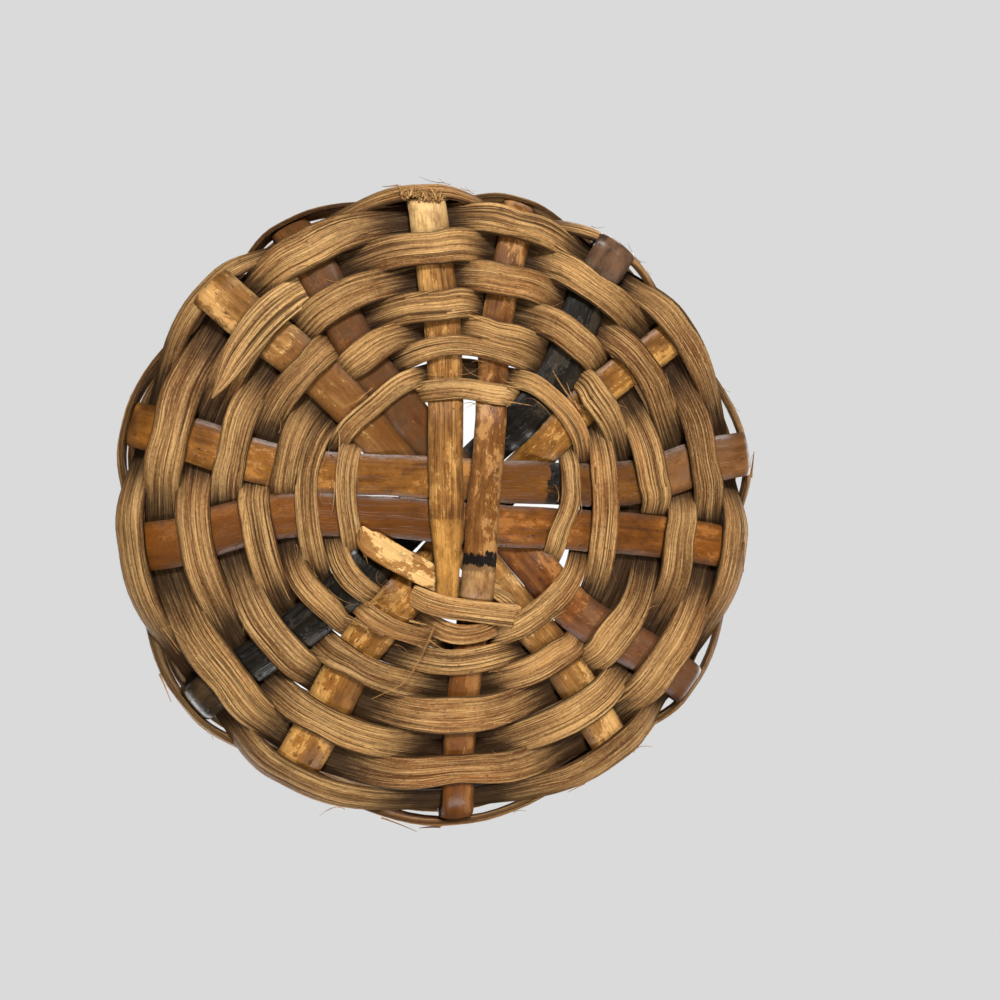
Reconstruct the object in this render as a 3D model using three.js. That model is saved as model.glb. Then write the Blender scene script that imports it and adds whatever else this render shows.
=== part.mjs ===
// Wicker planter basket: split wood stakes that cross under the base and bend up into the wall, woven round
// with flat cane, and closed by a lashed pair of hoops.
// Millimetres, +Z up. The origin is the middle of the base, on the surface that the basket stands on.
import * as THREE from 'three';

// Shape of the basket, measured on the middle surface of the stakes.
const basketHeight = 165;
const baseFlatRadius = 90;
const cornerRadius = 14;
const wallFlare = THREE.MathUtils.degToRad(6);

// Gap that pieces lying on each other keep.
const clearance = 0.3;

// Stakes: flat sticks with bevelled edges, thinned and narrowed where they cross.
const stakeThickness = 3;
const crossingThickness = 2;
const crossingNarrowing = 0.76;
const edgeThickness = 0.8;
const edgeBevel = 1.8;
const crossingRadius = 26;
const levelRadius = 36;
const fullWidthRadius = 80;
const halfStickTail = 30;
const tipBelowHoopTop = 0.5;

// Starting rounds, over and under pairs of stakes.
const startRadius = 36.2;
const startStrandWidth = 5.4;
const startStrandThickness = 1.4;
const startRounds = 3;

// Weaver: one spiral, over one stake and under the next.
const weaverWidth = 8.6;
const weaverThickness = 2;
const weaverStartWidth = 5.6;
const weaverEndWidth = 2.4;
const leastRowGap = 0.55;
const weaverLengths = 12;
const spliceGap = 1;

// Rim: two hoops over the stake tips and a strand lashed round them.
const hoopHeight = 11;
const hoopThickness = 3.5;
const hoopSegments = 72;
const lashingWidth = 4;
const lashingThickness = 1.2;
const lashingPlaces = [0.3, 0.7];

// Colours and roughness of the woods and the cane.
const straw = 0xb98a4e;
const pale = 0xa9793c;
const redBrown = 0x8a4b22;
const darkRed = 0x6e3f24;
const brown = 0x7a4d2c;
const orangeBrown = 0x8f5522;
const gold = 0xb07a24;
const black = 0x35302b;
const caneColor = 0xb48c5a;
const hoopColor = 0xa87c48;
const barkRoughness = 0.55;
const hoopRoughness = 0.6;
const caneRoughness = 0.7;

// Where each stake stands round the basket, in degrees from -Y towards +X, and its width.
const stakes = [
  { name: 'a', angle: -6, width: 12.5 },
  { name: 'b', angle: 12, width: 10.5 },
  { name: 'c', angle: 31.6, width: 14 },
  { name: 'd', angle: 52, width: 12 },
  { name: 'e', angle: 80, width: 15.5 },
  { name: 'f', angle: 99, width: 14.5 },
  { name: 'g', angle: 127.7, width: 14.5 },
  { name: 'h', angle: 147, width: 13.5 },
  { name: 'i', angle: 180, width: 10.5 },
  { name: 'j', angle: 212, width: 15 },
  { name: 'k', angle: 233, width: 13 },
  { name: 'l', angle: 262.5, width: 15 },
  { name: 'm', angle: 284, width: 14 },
  { name: 'n', angle: 311.3, width: 14.5 },
  { name: 'o', angle: 329, width: 13 },
];

// The sticks that the stakes belong to. Two lie side by side along each axis through the middle. Beside
// says how far to the right of the axis, seen towards its first end, each lies where it leaves the
// crossing at that end and at the other. Level counts the layers up from the lowest.
const sticks = [
  { name: 'stake_upright_half', ends: ['a'], axis: 0, beside: [-4.3, -3.7], level: 0, color: straw },
  { name: 'stake_upright_long', ends: ['b', 'i'], axis: 0, beside: [10.9, 5.1], level: 0, color: redBrown },
  { name: 'stake_cross_upper', ends: ['e', 'm'], axis: 90, beside: [-6.8, -10], level: 1, color: brown },
  { name: 'stake_cross_lower', ends: ['f', 'l'], axis: 90, beside: [8.2, 3], level: 1, color: orangeBrown },
  { name: 'stake_diagonal_red', ends: ['g', 'o'], axis: 139, beside: [-5.8, -7], level: 2, color: darkRed },
  { name: 'stake_diagonal_straw', ends: ['h', 'n'], axis: 139, beside: [7.2, 5.4], level: 2, color: pale },
  { name: 'stake_diagonal_dark', ends: ['c', 'k'], axis: 42, beside: [-3.1, -8.7], level: 3, color: black },
  { name: 'stake_diagonal_gold', ends: ['d', 'j'], axis: 42, beside: [8.6, 6.7], level: 3, color: gold },
];

// The first round goes outside these groups of stakes and inside the others, the next round the other way.
const startGroups = [
  ['a', 'b'], ['c', 'd'], ['e', 'f'], ['g', 'h'], ['i'], ['j', 'k'], ['l', 'm'], ['n', 'o'],
];
const spiralStart = 'm';

// Middle surface of the stakes as a line in the upright plane through the axis: flat base, round corner,
// wall. Outer faces of the weaver lie at height 0.
const middleHeight = stakeThickness / 2 + clearance + weaverThickness;
const cornerAngle = Math.PI / 2 - wallFlare;
const cornerEnd = baseFlatRadius + cornerRadius * cornerAngle;
const cornerEndHeight = middleHeight + cornerRadius * (1 - Math.cos(cornerAngle));

// The lashing runs outside both hoops and over their top. Its inner top edge is the highest line of the
// basket.
const lashingOut = stakeThickness / 2 + clearance + hoopThickness + clearance + lashingThickness / 2;
const lashingRise = (lashingOut + lashingThickness / 2) * Math.sin(wallFlare);
const wallRise = basketHeight - cornerEndHeight - lashingRise;
const wallLength = wallRise / Math.cos(wallFlare) - clearance - lashingThickness;
const rimDistance = cornerEnd + wallLength;

// Point and outward normal of that line at a distance along it, as [radius, height].
function profile(distance) {
  if (distance <= baseFlatRadius) {
    return { radius: distance, height: middleHeight, normal: [0, -1] };
  }
  const turned = Math.min((distance - baseFlatRadius) / cornerRadius, cornerAngle);
  const along = Math.max(distance - cornerEnd, 0);
  return {
    radius: baseFlatRadius + cornerRadius * Math.sin(turned) + along * Math.cos(turned),
    height: middleHeight + cornerRadius * (1 - Math.cos(turned)) + along * Math.sin(turned),
    normal: [Math.sin(turned), -Math.cos(turned)],
  };
}

// Point at a distance along the profile, an offset out from it, an angle round the basket and a shift
// sideways.
function place(distance, offset, angle, shift = 0) {
  const at = profile(distance);
  const radius = at.radius + offset * at.normal[0];
  return new THREE.Vector3(
    radius * Math.sin(angle) + shift * Math.cos(angle),
    -radius * Math.cos(angle) + shift * Math.sin(angle),
    at.height + offset * at.normal[1],
  );
}

function smooth(value, low, high) {
  return THREE.MathUtils.smoothstep(value, low, high);
}

// Closed solid through a row of sections with the same number of corners.
function loft(sections) {
  const corners = sections[0].length;
  const positions = sections.flat().flatMap((point) => [point.x, point.y, point.z]);
  const faces = [];
  for (let row = 0; row + 1 < sections.length; row += 1) {
    for (let corner = 0; corner < corners; corner += 1) {
      const next = (corner + 1) % corners;
      const here = row * corners;
      const there = here + corners;
      faces.push(here + corner, here + next, there + next);
      faces.push(here + corner, there + next, there + corner);
    }
  }
  const last = (sections.length - 1) * corners;
  for (let corner = 1; corner + 1 < corners; corner += 1) {
    faces.push(0, corner + 1, corner);
    faces.push(last, last + corner, last + corner + 1);
  }
  const geometry = new THREE.BufferGeometry();
  geometry.setAttribute('position', new THREE.Float32BufferAttribute(positions, 3));
  geometry.setIndex(volume(sections.flat(), faces) < 0 ? faces.reverse() : faces);
  geometry.computeVertexNormals();
  return geometry;
}

function volume(points, faces) {
  let total = 0;
  for (let face = 0; face < faces.length; face += 3) {
    const [first, second, third] = faces.slice(face, face + 3).map((index) => points[index]);
    total += first.dot(second.clone().cross(third)) / 6;
  }
  return total;
}

const basket = new THREE.Group();

function addPiece(name, geometry, color, roughness) {
  const material = new THREE.MeshStandardMaterial({ color, roughness, metalness: 0 });
  const mesh = new THREE.Mesh(geometry, material);
  mesh.name = name;
  basket.add(mesh);
}

// Stakes

const stakeNamed = new Map(stakes.map((stake) => [stake.name, stake]));

function thicknessAt(distance) {
  const share = smooth(distance, crossingRadius, fullWidthRadius);
  return THREE.MathUtils.lerp(crossingThickness, stakeThickness, share);
}

for (const stick of sticks) {
  const ends = stick.ends.map((name) => stakeNamed.get(name));
  stick.middleWidth = crossingNarrowing * ends.reduce((sum, end) => sum + end.width, 0) / ends.length;
  stick.slope = (stick.beside[0] - stick.beside[1]) / (2 * levelRadius);
  ends.forEach((end, index) => {
    end.stick = stick;
    end.axis = THREE.MathUtils.degToRad(stick.axis + 180 * index);
    end.turn = THREE.MathUtils.degToRad(end.angle) - end.axis;
    // Seen outwards, the second end's half lies on the other side of the axis.
    end.beside = index === 0 ? stick.beside[0] : -stick.beside[1];
  });
}

function widthAt(end, distance) {
  const share = smooth(distance, crossingRadius, fullWidthRadius);
  return THREE.MathUtils.lerp(end.stick.middleWidth, end.width, share);
}

// A stake lies straight through the crossing, and then swings round until it points straight away from
// the middle.
function swing(end, distance) {
  const along = distance * Math.cos(end.turn);
  const straight = end.beside + end.stick.slope * (distance - levelRadius);
  const radial = distance * Math.sin(end.turn);
  const share = smooth(distance, levelRadius, baseFlatRadius);
  return { along, across: THREE.MathUtils.lerp(straight, radial, share) };
}

function angleAt(end, distance) {
  const { along, across } = swing(end, Math.min(distance, baseFlatRadius));
  return end.axis + Math.atan2(across, along);
}

const levelStep = crossingThickness + clearance;
const lowestLevel = clearance + crossingThickness / 2;
function stakeCenter(end, distance) {
  if (distance > baseFlatRadius) {
    return place(distance, 0, angleAt(end, distance));
  }
  const { along, across } = swing(end, distance);
  const outward = new THREE.Vector2(Math.sin(end.axis), -Math.cos(end.axis));
  const level = lowestLevel + end.stick.level * levelStep;
  const height = THREE.MathUtils.lerp(level, middleHeight, smooth(distance, crossingRadius, levelRadius));
  return new THREE.Vector3(
    outward.x * along - outward.y * across,
    outward.y * along + outward.x * across,
    height,
  );
}

// Eight-cornered section of a stake. Flip mirrors it, for the far half, whose outward direction is the
// other one.
function stakeSection(end, distance, flip) {
  const probe = 0.05;
  const center = stakeCenter(end, distance);
  const ahead = stakeCenter(end, distance + probe).sub(stakeCenter(end, Math.max(distance - probe, 0)));
  const across = new THREE.Vector3(-ahead.y, ahead.x, 0).normalize();
  const normal = across.clone().cross(ahead).normalize();
  const halfWidth = widthAt(end, distance) / 2;
  const halfThickness = thicknessAt(distance) / 2;
  const flatHalf = halfWidth - edgeBevel * thicknessAt(distance) / stakeThickness;
  const corners = [
    [-halfWidth, edgeThickness / 2], [-flatHalf, halfThickness], [flatHalf, halfThickness],
    [halfWidth, edgeThickness / 2], [halfWidth, -edgeThickness / 2],
    [flatHalf, -halfThickness], [-flatHalf, -halfThickness],
    [-halfWidth, -edgeThickness / 2],
  ];
  const sideways = flip ? -1 : 1;
  return corners.map(([side, out]) => center.clone()
    .addScaledVector(across, sideways * side)
    .addScaledVector(normal, out));
}

function stakeDistances() {
  const distances = [];
  const middleSteps = 2;
  for (let step = 0; step < middleSteps; step += 1) {
    distances.push(crossingRadius * step / middleSteps);
  }
  const levelSteps = 6;
  for (let step = 0; step < levelSteps; step += 1) {
    distances.push(THREE.MathUtils.lerp(crossingRadius, levelRadius, step / levelSteps));
  }
  const swingSteps = 4;
  for (let step = 0; step < swingSteps; step += 1) {
    distances.push(THREE.MathUtils.lerp(levelRadius, baseFlatRadius, step / swingSteps));
  }
  const cornerSteps = 5;
  for (let step = 0; step <= cornerSteps; step += 1) {
    distances.push(THREE.MathUtils.lerp(baseFlatRadius, cornerEnd, step / cornerSteps));
  }
  distances.push(rimDistance - tipBelowHoopTop);
  return distances;
}

for (const stick of sticks) {
  const [first, second] = stick.ends.map((name) => stakeNamed.get(name));
  const outward = stakeDistances();
  const sections = [...outward].reverse().map((distance) => stakeSection(first, distance, false));
  // The half stick has no second end: its tail runs straight on beside the long stick and stops.
  const tailWay = { axis: first.axis + Math.PI, turn: 0, beside: -stick.beside[1] };
  const tail = { ...first, ...tailWay, width: stick.middleWidth };
  const tailDistances = [...outward.filter((distance) => distance < halfStickTail), halfStickTail];
  const beyond = second ? outward : tailDistances;
  sections.push(...beyond.slice(1).map((distance) => stakeSection(second ?? tail, distance, true)));
  addPiece(stick.name, loft(sections), stick.color, barkRoughness);
}

// Strands

// Section of a strand across its width, laid against a stake: side is 1 outside it and -1 inside, and
// shift is the way along the stake's flat face. Round the corner it has a third column, so that it
// follows the bend.
function strandSection(row, side, angle, shift, strandThickness) {
  const columns = row.bent ? [-0.5, 0, 0.5] : [-0.5, 0.5];
  const face = (outward) => columns.map((share) => {
    const distance = row.distance + share * row.width;
    const seat = thicknessAt(distance) / 2 + clearance + strandThickness / 2;
    return place(distance, side * seat + outward * strandThickness / 2, angle, shift);
  });
  return [...face(1), ...face(-1).reverse()];
}

// Stake by count from the first one, going round and round, and its angle at a distance from the middle.
const firstStake = stakes.findIndex((stake) => stake.name === spiralStart);
function stakeCounted(count) {
  const index = firstStake + count;
  const rounds = Math.floor(index / stakes.length);
  return { end: stakes[index - rounds * stakes.length], rounds };
}
function angleCounted(count, distance) {
  const { end, rounds } = stakeCounted(count);
  const angle = angleAt(end, distance);
  const nominal = THREE.MathUtils.degToRad(end.angle);
  const fullTurns = Math.round((nominal - angle) / (2 * Math.PI));
  return angle + 2 * Math.PI * (fullTurns + rounds);
}

// A strand from one stake to another. The row gives distance and width at a count of stakes, and sideOf
// says on which side of a stake the strand lies. Both ends lie flat on the middle of a stake.
function strand(firstCount, lastCount, rowOf, sideOf, strandThickness) {
  const counts = Array.from({ length: lastCount - firstCount + 1 }, (_, step) => firstCount + step);
  const rows = counts.map(rowOf);
  const bent = rows.some((row) => row.distance + row.width / 2 > baseFlatRadius)
    && rows.some((row) => row.distance - row.width / 2 < cornerEnd);
  const sections = counts.flatMap((count, step) => {
    const row = { ...rows[step], bent };
    const { end } = stakeCounted(count);
    const bevel = edgeBevel * thicknessAt(row.distance) / stakeThickness;
    // A stake that crosses the row at a slant gives it a longer seat.
    const slant = angleAt(end, row.distance + row.width / 2) - angleAt(end, row.distance - row.width / 2);
    const flatHalf = (widthAt(end, row.distance) - bevel + Math.abs(slant) * row.distance) / 2;
    const before = count === firstCount ? -spliceGap / 2 : flatHalf;
    const after = count === lastCount ? -spliceGap / 2 : flatHalf;
    const angle = angleCounted(count, row.distance);
    return [-before, after].map((shift) => strandSection(row, sideOf(count), angle, shift, strandThickness));
  });
  return loft(sections);
}

// Starting rounds: each is one length, whose ends meet inside a stake.
const startPitch = startStrandWidth + clearance;
for (let round = 0; round < startRounds; round += 1) {
  const distance = startRadius + startPitch * round + startStrandWidth / 2;
  const sideOf = (count) => {
    const { end } = stakeCounted(count);
    const group = startGroups.findIndex((names) => names.includes(end.name));
    return (group + round) % 2 === 0 ? 1 : -1;
  };
  let firstCount = 0;
  while (sideOf(firstCount) === 1) {
    firstCount += 1;
  }
  const rowOf = () => ({ distance, width: startStrandWidth });
  const geometry = strand(firstCount, firstCount + stakes.length, rowOf, sideOf, startStrandThickness);
  addPiece(`start_round_${round + 1}`, geometry, caneColor, caneRoughness);
}

// The spiral's lower edge climbs by one row a turn. Its first turn widens and its last one tapers, so
// that its upper edge ends level.
const spiralInner = startRadius + startPitch * startRounds;
const lashingBand = lashingThickness + 2 * clearance;
const rowsTop = rimDistance - hoopHeight - lashingBand;
const rowsLength = rowsTop - spiralInner - weaverStartWidth - weaverWidth;
const fullRows = Math.floor(rowsLength / (weaverWidth + leastRowGap));
const rowGap = (rowsLength - fullRows * weaverWidth) / (fullRows + 1);
const taperTurn = fullRows + 1;

function lowerEdge(turn) {
  if (turn < 1) {
    return spiralInner + turn * (weaverStartWidth + rowGap);
  }
  return lowerEdge(turn - 1) + spiralWidth(turn - 1) + rowGap;
}
function spiralWidth(turn) {
  if (turn < 1) {
    return THREE.MathUtils.lerp(weaverStartWidth, weaverWidth, Math.max(turn, 0));
  }
  return turn <= taperTurn ? weaverWidth : rowsTop - lowerEdge(turn);
}
function spiralRow(count) {
  const turned = angleCounted(count, baseFlatRadius) - angleCounted(0, baseFlatRadius);
  const turn = turned / (2 * Math.PI);
  const width = spiralWidth(turn);
  return { distance: lowerEdge(turn) + width / 2, width };
}
const spiralSide = (count) => (count % 2 === 0 ? 1 : -1);

let lastSpiralCount = taperTurn * stakes.length;
while (spiralRow(lastSpiralCount + 1).width > weaverEndWidth) {
  lastSpiralCount += 1;
}
if (spiralSide(lastSpiralCount) === 1) {
  lastSpiralCount -= 1;
}

// The spiral is spliced from lengths of much the same number of stakes, all of which end inside a stake.
const spliceCount = (splice) => 1 + 2 * Math.round(splice * (lastSpiralCount - 1) / (2 * weaverLengths));
for (let splice = 0; splice < weaverLengths; splice += 1) {
  const [first, last] = [spliceCount(splice), spliceCount(splice + 1)];
  const geometry = strand(first, last, spiralRow, spiralSide, weaverThickness);
  addPiece(`weaver_${String(splice + 1).padStart(2, '0')}`, geometry, caneColor, caneRoughness);
}

// Rim

// Hoop round the stake tips, as a closed profile turned about the axis.
function hoop(side) {
  const near = side * (stakeThickness / 2 + clearance);
  const far = near + side * hoopThickness;
  const outline = [[rimDistance - hoopHeight, near], [rimDistance - hoopHeight, far], [rimDistance, far],
    [rimDistance, near]];
  if (side < 0) {
    outline.reverse();
  }
  const points = outline.map(([distance, offset]) => {
    const corner = place(distance, offset, Math.PI / 2);
    return new THREE.Vector2(corner.x, corner.z);
  });
  const geometry = new THREE.LatheGeometry([...points, points[0].clone()], hoopSegments);
  return geometry.rotateX(Math.PI / 2);
}
addPiece('rim_outer_hoop', hoop(1), hoopColor, hoopRoughness);
addPiece('rim_inner_hoop', hoop(-1), hoopColor, hoopRoughness);

// Lashing: passes under the hoops between the stakes, up outside, over the top and down inside.
const lashingLow = rimDistance - hoopHeight - lashingBand / 2;
const lashingHigh = rimDistance + clearance + lashingThickness / 2;

// Section where the lashing turns a corner, or, with upward 0, where it runs up a hoop's face.
function lashingSection(distance, side, upward, angle) {
  const corners = [[-1, 1], [1, 1], [1, -1], [-1, -1]];
  const radius = profile(distance).radius;
  return corners.map(([along, away]) => place(
    distance + away * upward * lashingThickness / 2,
    side * (lashingOut + away * lashingThickness / 2),
    angle + along * lashingWidth / 2 / radius,
  ));
}

const lashingAngles = [];
for (let count = 0; count < stakes.length; count += 1) {
  const here = angleCounted(count, rimDistance);
  const next = angleCounted(count + 1, rimDistance);
  lashingAngles.push(...lashingPlaces.map((share) => THREE.MathUtils.lerp(here, next, share)));
}
const lashingSections = [];
lashingAngles.forEach((angle, index) => {
  const following = lashingAngles[index + 1] ?? lashingAngles[0] + 2 * Math.PI;
  const over = (angle + following) / 2;
  lashingSections.push(lashingSection(lashingLow, -1, -1, angle));
  lashingSections.push(lashingSection(lashingLow, 1, -1, angle));
  lashingSections.push(lashingSection((lashingLow + lashingHigh) / 2, 1, 0, (angle + over) / 2));
  lashingSections.push(lashingSection(lashingHigh, 1, 1, over));
  lashingSections.push(lashingSection(lashingHigh, -1, 1, over));
});
addPiece('rim_lashing', loft(lashingSections), caneColor, caneRoughness);

export default basket;
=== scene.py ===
"""Wicker planter basket, seen from below: split wood sticks, flat cane woven over and under them, and a
lashed rim. Metres, +Z up. The origin is the middle of the base, on the surface that the basket stands on."""
import math

import bmesh
import bpy
import numpy as np
from mathutils import Matrix, Vector


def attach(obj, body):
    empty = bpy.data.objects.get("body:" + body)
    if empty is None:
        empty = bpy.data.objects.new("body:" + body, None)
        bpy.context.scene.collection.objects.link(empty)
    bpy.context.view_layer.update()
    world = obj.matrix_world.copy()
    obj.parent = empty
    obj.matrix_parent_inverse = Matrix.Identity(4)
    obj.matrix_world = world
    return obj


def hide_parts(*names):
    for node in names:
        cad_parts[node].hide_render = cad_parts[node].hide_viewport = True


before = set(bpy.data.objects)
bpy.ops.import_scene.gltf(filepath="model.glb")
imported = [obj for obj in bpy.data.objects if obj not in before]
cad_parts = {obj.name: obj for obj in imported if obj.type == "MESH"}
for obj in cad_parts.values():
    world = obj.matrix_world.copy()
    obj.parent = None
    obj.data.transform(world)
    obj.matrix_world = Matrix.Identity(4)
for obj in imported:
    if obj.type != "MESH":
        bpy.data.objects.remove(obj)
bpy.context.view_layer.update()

# Split wood sticks. Real ones are riven from thin rods, bark side out, crossed under the base, bent up at
# its edge and left to run up the wall as stakes. Each is laid here along one line, measured on the basket's
# middle surface: flat base, round corner, wall.
basket_height = 0.165
base_flat_radius = 0.090
corner_radius = 0.014
wall_flare = math.radians(6)
corner_angle = math.pi / 2 - wall_flare
corner_end = base_flat_radius + corner_radius * corner_angle
stick_thickness = 0.003
clearance = 0.0003
cane_thickness = 0.002
middle_height = stick_thickness / 2 + clearance + cane_thickness

hoop_thickness = 0.0035
lashing_thickness = 0.0012
lashing_out = stick_thickness / 2 + 2 * clearance + hoop_thickness + lashing_thickness / 2
corner_end_height = middle_height + corner_radius * (1 - math.cos(corner_angle))
lashing_rise = (lashing_out + lashing_thickness / 2) * math.sin(wall_flare)
wall_rise = basket_height - corner_end_height - lashing_rise
rim_distance = corner_end + wall_rise / math.cos(wall_flare) - clearance - lashing_thickness

crossing_thickness = 0.002
crossing_radius = 0.026
level_radius = 0.036
full_width_radius = 0.080
half_stick_tail = 0.031
lowest_level = clearance + crossing_thickness / 2
level_step = crossing_thickness + clearance

# Each stake's place round the basket in degrees from -Y towards +X, and its width in millimetres on the
# wall and where it enters the crossing.
stakes = {
    "a": (-6, 12.5, 11.4),
    "b": (12, 10.5, 10.3),
    "c": (31.6, 14, 12.6),
    "d": (52, 12, 12.2),
    "e": (80, 15.5, 14.2),
    "f": (99, 14.5, 13.8),
    "g": (127.7, 14.5, 13.8),
    "h": (147, 13.5, 12.6),
    "i": (180, 10.5, 11.2),
    "j": (212, 15, 14.2),
    "k": (233, 13, 13.6),
    "l": (262.5, 15, 13.5),
    "m": (284, 14, 13.3),
    "n": (311.3, 14.5, 13.2),
    "o": (329, 13, 13.2),
}


def profile(distance):
    """Radius and height of the basket's side view at a distance along it, and its outward direction."""
    turned = np.clip((distance - base_flat_radius) / corner_radius, 0, corner_angle)
    along = np.maximum(distance - corner_end, 0)
    flat = np.minimum(distance, base_flat_radius)
    radius = flat + corner_radius * np.sin(turned) + along * math.cos(corner_angle)
    height = middle_height + corner_radius * (1 - np.cos(turned)) + along * math.sin(corner_angle)
    return radius, height, np.sin(turned), -np.cos(turned)


def place(distance, offset, angle):
    """Points at distances along the side view, offsets out from it and angles round the basket."""
    radius, height, out, down = profile(distance)
    radius = radius + offset * out
    return np.stack([radius * np.sin(angle), -radius * np.cos(angle), height + offset * down], axis=-1)


def eased(value, low, high):
    """Share of the way from low to high, with a soft start and end."""
    share = np.clip((value - low) / (high - low), 0, 1)
    return share * share * (3 - 2 * share)


def blend(first, second, share):
    return first + (second - first) * share


class Stake:
    """One end of a stick: it leaves the crossing and swings round until it points away from the middle."""

    def __init__(self, letter, axis, beside, slope, level):
        angle, width, crossing_width = stakes[letter]
        self.angle = math.radians(angle)
        self.width = width / 1000
        self.crossing_width = crossing_width / 1000
        self.axis = math.radians(axis)
        self.turn = self.angle - self.axis
        self.beside = beside / 1000
        self.slope = slope
        self.level = lowest_level + level * level_step

    def swing(self, distance):
        along = distance * math.cos(self.turn)
        straight = self.beside + self.slope * (distance - level_radius)
        radial = distance * math.sin(self.turn)
        return along, blend(straight, radial, eased(distance, level_radius, base_flat_radius))

    def angle_at(self, distance):
        along, across = self.swing(np.minimum(distance, base_flat_radius))
        return self.axis + np.arctan2(across, along)

    def height_at(self, distance):
        return blend(self.level, middle_height, eased(distance, crossing_radius, level_radius))

    def width_at(self, distance):
        return blend(self.crossing_width, self.width, eased(distance, crossing_radius, full_width_radius))

    def center(self, distance):
        along, across = self.swing(np.minimum(distance, base_flat_radius))
        out_x, out_y = math.sin(self.axis), -math.cos(self.axis)
        flat = np.stack([
            out_x * along - out_y * across,
            out_y * along + out_x * across,
            self.height_at(distance),
        ], axis=-1)
        wall = place(distance, 0, self.angle_at(distance))
        return np.where((distance > base_flat_radius)[:, None], wall, flat)


def thickness_at(distance):
    return blend(crossing_thickness, stick_thickness, eased(distance, crossing_radius, full_width_radius))


def waver(length, seed, wave):
    """Slow random rise and fall along a length: three waves that reach 1.83 together, brought down to 1."""
    phases = np.random.default_rng(seed).uniform(0, 2 * math.pi, 3)
    total = sum(
        np.sin(2 * math.pi * length / (wave * stretch) + phase) / (1 + number)
        for number, (stretch, phase) in enumerate(zip((1, 0.53, 0.29), phases))
    )
    return total / 1.83


def lumps(along, girth, height, per_along, per_girth, seed):
    """Low smooth lumps all over a strip's faces."""
    return height * np.sin(along[:, None] * per_along + seed) * np.sin(girth * per_girth + seed)


def section(width, thickness, squareness, columns):
    """Rounded section from the middle of the inner face, over the outer face and back, at even steps."""
    turn = np.linspace(-math.pi / 2, 1.5 * math.pi, 4 * 360 + 1)
    cosine, sine = np.cos(turn), np.sin(turn)
    across = width / 2 * np.sign(cosine) * np.abs(cosine) ** (2 / squareness)
    out = thickness / 2 * np.sign(sine) * np.abs(sine) ** (2 / squareness)
    steps = np.hypot(np.diff(across), np.diff(out))
    girth = np.concatenate([[0], np.cumsum(steps)])
    even = np.linspace(0, girth[-1], columns + 1)
    return np.interp(even, girth, across), np.interp(even, girth, out), even - girth[-1] / 2


def unit(vectors):
    return vectors / np.linalg.norm(vectors, axis=-1, keepdims=True)


def flat_frame(line):
    """Directions across a strip that lies flat along a line, and outward from its face."""
    ahead = unit(np.gradient(line, axis=0))
    across = unit(np.stack([-ahead[:, 1], ahead[:, 0], 0 * ahead[:, 0]], axis=-1))
    return across, unit(np.cross(across, ahead))


def sweep(line, across, outward, reach, rise):
    """Rows of section points along a line, given how far each is across from it and out from it."""
    return line[:, None] + across[:, None] * reach[..., None] + outward[:, None] * rise[..., None]


def lay(bm, points, along, girth, standing=None):
    """Lay a strip through rows of section points: a flat grid is moved into place and rolled up. Its UV map
    holds metres along it and metres round it from the middle of its outer face, and its points keep how far
    each row stands out of the weave, from 0 to 1."""
    rows, columns = points.shape[:2]
    points[:, -1] = points[:, 0]
    if standing is None:
        standing = np.ones(rows)
    uv_layer = bm.loops.layers.uv.get("laid") or bm.loops.layers.uv.new("laid")
    standing_layer = bm.verts.layers.float.get("standing") or bm.verts.layers.float.new("standing")
    grid = bmesh.ops.create_grid(bm, x_segments=rows - 1, y_segments=columns - 1, size=1, calc_uvs=True)
    verts = grid["verts"]
    faces = {face for vert in verts for face in vert.link_faces}
    for face in faces:
        for loop in face.loops:
            share = loop[uv_layer].uv
            row = round(share.x * (rows - 1))
            column = round(share.y * (columns - 1))
            loop[uv_layer].uv = (along[row], girth[column])
    for vert in verts:
        row = round((vert.co.x + 1) / 2 * (rows - 1))
        column = round((vert.co.y + 1) / 2 * (columns - 1))
        vert.co = points[row, column]
        vert[standing_layer] = standing[row]
    bmesh.ops.remove_doubles(bm, verts=verts, dist=1e-6)


def put_in_scene(name, data):
    """Object that holds a mesh, a lamp or a camera."""
    made = bpy.data.objects.new(name, data)
    bpy.context.scene.collection.objects.link(made)
    return made


sharp_angle = math.radians(50)


def finish_piece(name, bm, material, node):
    """Close a piece's ends, turn its faces outwards, and let it ride on the basket for its CAD node."""
    rim = [edge for edge in bm.edges if edge.is_boundary]
    bmesh.ops.holes_fill(bm, edges=rim, sides=0)
    bmesh.ops.recalc_face_normals(bm, faces=bm.faces)
    for edge in bm.edges:
        edge.smooth = edge.calc_face_angle(0) < sharp_angle
    for face in bm.faces:
        face.smooth = True
    mesh = bpy.data.meshes.new(name)
    bm.to_mesh(mesh)
    bm.free()
    piece = put_in_scene(name, mesh)
    mesh.materials.append(material)
    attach(piece, "root")
    if node:
        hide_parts(node)


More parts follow.
